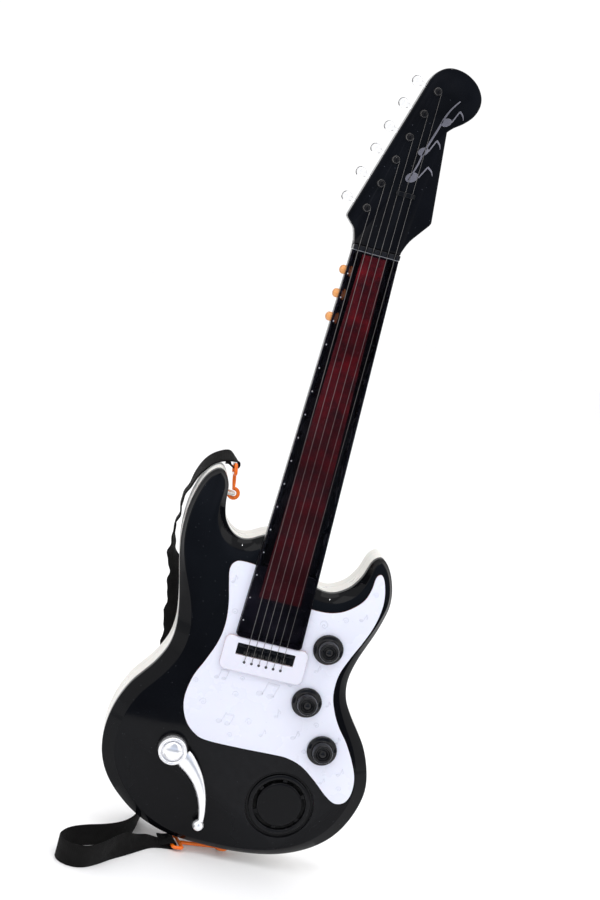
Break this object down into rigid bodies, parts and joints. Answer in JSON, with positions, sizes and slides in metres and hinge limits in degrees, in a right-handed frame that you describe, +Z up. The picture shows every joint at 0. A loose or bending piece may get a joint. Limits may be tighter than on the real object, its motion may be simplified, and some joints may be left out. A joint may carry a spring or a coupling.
{
  "type": "toy electric guitar",
  "caption": "Toy electric guitar with lit neck, strings, knobs, swinging lever, round speaker, neck buttons, clear tuning pegs and a webbing strap.",
  "frame": {"origin": "centre of the neck just above the nut, in the plane of the body's front face, where a stand's yoke holds the guitar under the flare of the headstock", "axes": "+Z up the neck towards the headstock, -Y out of the front face, +X to the right seen from the front"},
  "size_m": [0.2352, 0.13, 0.6579],
  "materials": {
    "front_shell_plastic": "black gloss moulding",
    "black_gloss_plastic": "black gloss",
    "white_plastic": "warm white, half gloss",
    "white_back_plastic": "warm white, half gloss",
    "pickguard_white": "white with a faint lilac tint",
    "bridge_white": "white with a faint lilac tint",
    "string_steel": "thin drawn wire",
    "neck_plastic": "black",
    "smoky_panel": "smoky transparent gloss",
    "light_window_red": "dark red diffuser",
    "circuit_board_green": "green solder mask",
    "headstock_plastic": "black gloss",
    "ornament_plastic": "raised grey-black relief",
    "post_plastic": "shiny black",
    "clear_plastic": "water clear",
    "knob_plastic": "black, half gloss",
    "orange_plastic": "translucent orange",
    "plated_silver": "plastic plated bright silver",
    "grille_plastic": "black",
    "speaker_paper": "dark paper cone and steel frame",
    "black_webbing": "woven black webbing",
    "battery_tray_plastic": "black, plain",
    "battery_wrap": "plain printed wrap, no lettering",
    "screw_steel": "plated"
  },
  "bodies": {
    "guitar": {"battery_1": "battery_wrap", "battery_2": "battery_wrap", "battery_3": "battery_wrap", "battery_tray": "battery_tray_plastic", "body_back_shell": "white_back_plastic", "body_front_shell": "front_shell_plastic", "body_mid_frame": "white_plastic", "body_screw_1": "screw_steel", "body_screw_2": "screw_steel", "body_screw_3": "screw_steel", "body_screw_4": "screw_steel", "bridge_comb": "black_gloss_plastic", "bridge_plate": "bridge_white", "circuit_board": "circuit_board_green", "fret_panel": "smoky_panel", "headstock_back": "headstock_plastic", "headstock_front": "headstock_plastic", "headstock_ornament": "ornament_plastic", "light_board": "circuit_board_green", "light_window": "light_window_red", "neck_back_shell": "neck_plastic", "nut": "black_gloss_plastic", "pickguard": "pickguard_white", "speaker_driver": "speaker_paper", "speaker_grille": "grille_plastic", "strap_hook_lower": "orange_plastic", "strap_hook_upper": "orange_plastic", "strap_webbing": "black_webbing", "string_1": "string_steel", "string_2": "string_steel", "string_3": "string_steel", "string_4": "string_steel", "string_5": "string_steel", "string_6": "string_steel", "string_retainer": "black_gloss_plastic", "tuner_post_1": "post_plastic", "tuner_post_2": "post_plastic", "tuner_post_3": "post_plastic", "tuner_post_4": "post_plastic", "tuner_post_5": "post_plastic", "tuner_post_6": "post_plastic", "whammy_collar": "black_gloss_plastic"},
    "knob_1_body": {"knob_1": "knob_plastic"},
    "knob_2_body": {"knob_2": "knob_plastic"},
    "knob_3_body": {"knob_3": "knob_plastic"},
    "neck_button_1_body": {"neck_button_1": "orange_plastic"},
    "neck_button_2_body": {"neck_button_2": "orange_plastic"},
    "neck_button_3_body": {"neck_button_3": "orange_plastic"},
    "tuner_peg_1_body": {"tuner_peg_1": "clear_plastic"},
    "tuner_peg_2_body": {"tuner_peg_2": "clear_plastic"},
    "tuner_peg_3_body": {"tuner_peg_3": "clear_plastic"},
    "tuner_peg_4_body": {"tuner_peg_4": "clear_plastic"},
    "tuner_peg_5_body": {"tuner_peg_5": "clear_plastic"},
    "tuner_peg_6_body": {"tuner_peg_6": "clear_plastic"},
    "whammy_lever_body": {"whammy_lever": "plated_silver"},
    "battery_door_body": {"battery_door": "white_back_plastic"},
    "power_switch_body": {"power_switch": "black_gloss_plastic"}
  },
  "joints": [
    {"name": "knob_1_turn", "type": "hinge", "parent": "guitar", "child": "knob_1_body", "pos_m": [0.0483, -0.0019, -0.3187], "axis": [0, -1, 0], "range_deg": [-135, 135]},
    {"name": "knob_2_turn", "type": "hinge", "parent": "guitar", "child": "knob_2_body", "pos_m": [0.0429, -0.0019, -0.3653], "axis": [0, -1, 0], "range_deg": [-135, 135]},
    {"name": "knob_3_turn", "type": "hinge", "parent": "guitar", "child": "knob_3_body", "pos_m": [0.0656, -0.0019, -0.4016], "axis": [0, -1, 0], "range_deg": [-135, 135]},
    {"name": "neck_button_1_press", "type": "slide", "parent": "guitar", "child": "neck_button_1_body", "axis": [1, 0, 0], "range_m": [0, 0.002], "stiffness_N_per_m": 300, "springref_m": -0.001},
    {"name": "neck_button_2_press", "type": "slide", "parent": "guitar", "child": "neck_button_2_body", "axis": [1, 0, 0], "range_m": [0, 0.002], "stiffness_N_per_m": 300, "springref_m": -0.001},
    {"name": "neck_button_3_press", "type": "slide", "parent": "guitar", "child": "neck_button_3_body", "axis": [1, 0, 0], "range_m": [0, 0.002], "stiffness_N_per_m": 300, "springref_m": -0.001},
    {"name": "whammy_lever_swing", "type": "hinge", "parent": "guitar", "child": "whammy_lever_body", "pos_m": [-0.052, 0, -0.428], "axis": [0, -1, 0], "range_deg": [-15, 15], "stiffness_Nm_per_rad": 0.12},
    {"name": "tuner_peg_1_turn", "type": "hinge", "parent": "guitar", "child": "tuner_peg_1_body", "pos_m": [-0.02523, 0.0042, 0.02959], "axis": [-0.9594, 0, 0.282], "continuous": true},
    {"name": "tuner_peg_2_turn", "type": "hinge", "parent": "guitar", "child": "tuner_peg_2_body", "pos_m": [-0.01953, 0.0042, 0.05029], "axis": [-0.9594, 0, 0.282], "continuous": true},
    {"name": "tuner_peg_3_turn", "type": "hinge", "parent": "guitar", "child": "tuner_peg_3_body", "pos_m": [-0.01333, 0.0042, 0.07029], "axis": [-0.9594, 0, 0.282], "continuous": true},
    {"name": "tuner_peg_4_turn", "type": "hinge", "parent": "guitar", "child": "tuner_peg_4_body", "pos_m": [-0.00783, 0.0042, 0.08929], "axis": [-0.9594, 0, 0.282], "continuous": true},
    {"name": "tuner_peg_5_turn", "type": "hinge", "parent": "guitar", "child": "tuner_peg_5_body", "pos_m": [-0.00183, 0.0042, 0.10889], "axis": [-0.9594, 0, 0.282], "continuous": true},
    {"name": "tuner_peg_6_turn", "type": "hinge", "parent": "guitar", "child": "tuner_peg_6_body", "pos_m": [0.00387, 0.0042, 0.12759], "axis": [-0.9594, 0, 0.282], "continuous": true},
    {"name": "battery_door_lift", "type": "slide", "parent": "guitar", "child": "battery_door_body", "axis": [0, 1, 0], "range_m": [0, 0.03]},
    {"name": "power_switch_slide", "type": "slide", "parent": "guitar", "child": "power_switch_body", "axis": [0, 0, 1], "range_m": [-0.0025, 0.0025]}
  ]
}
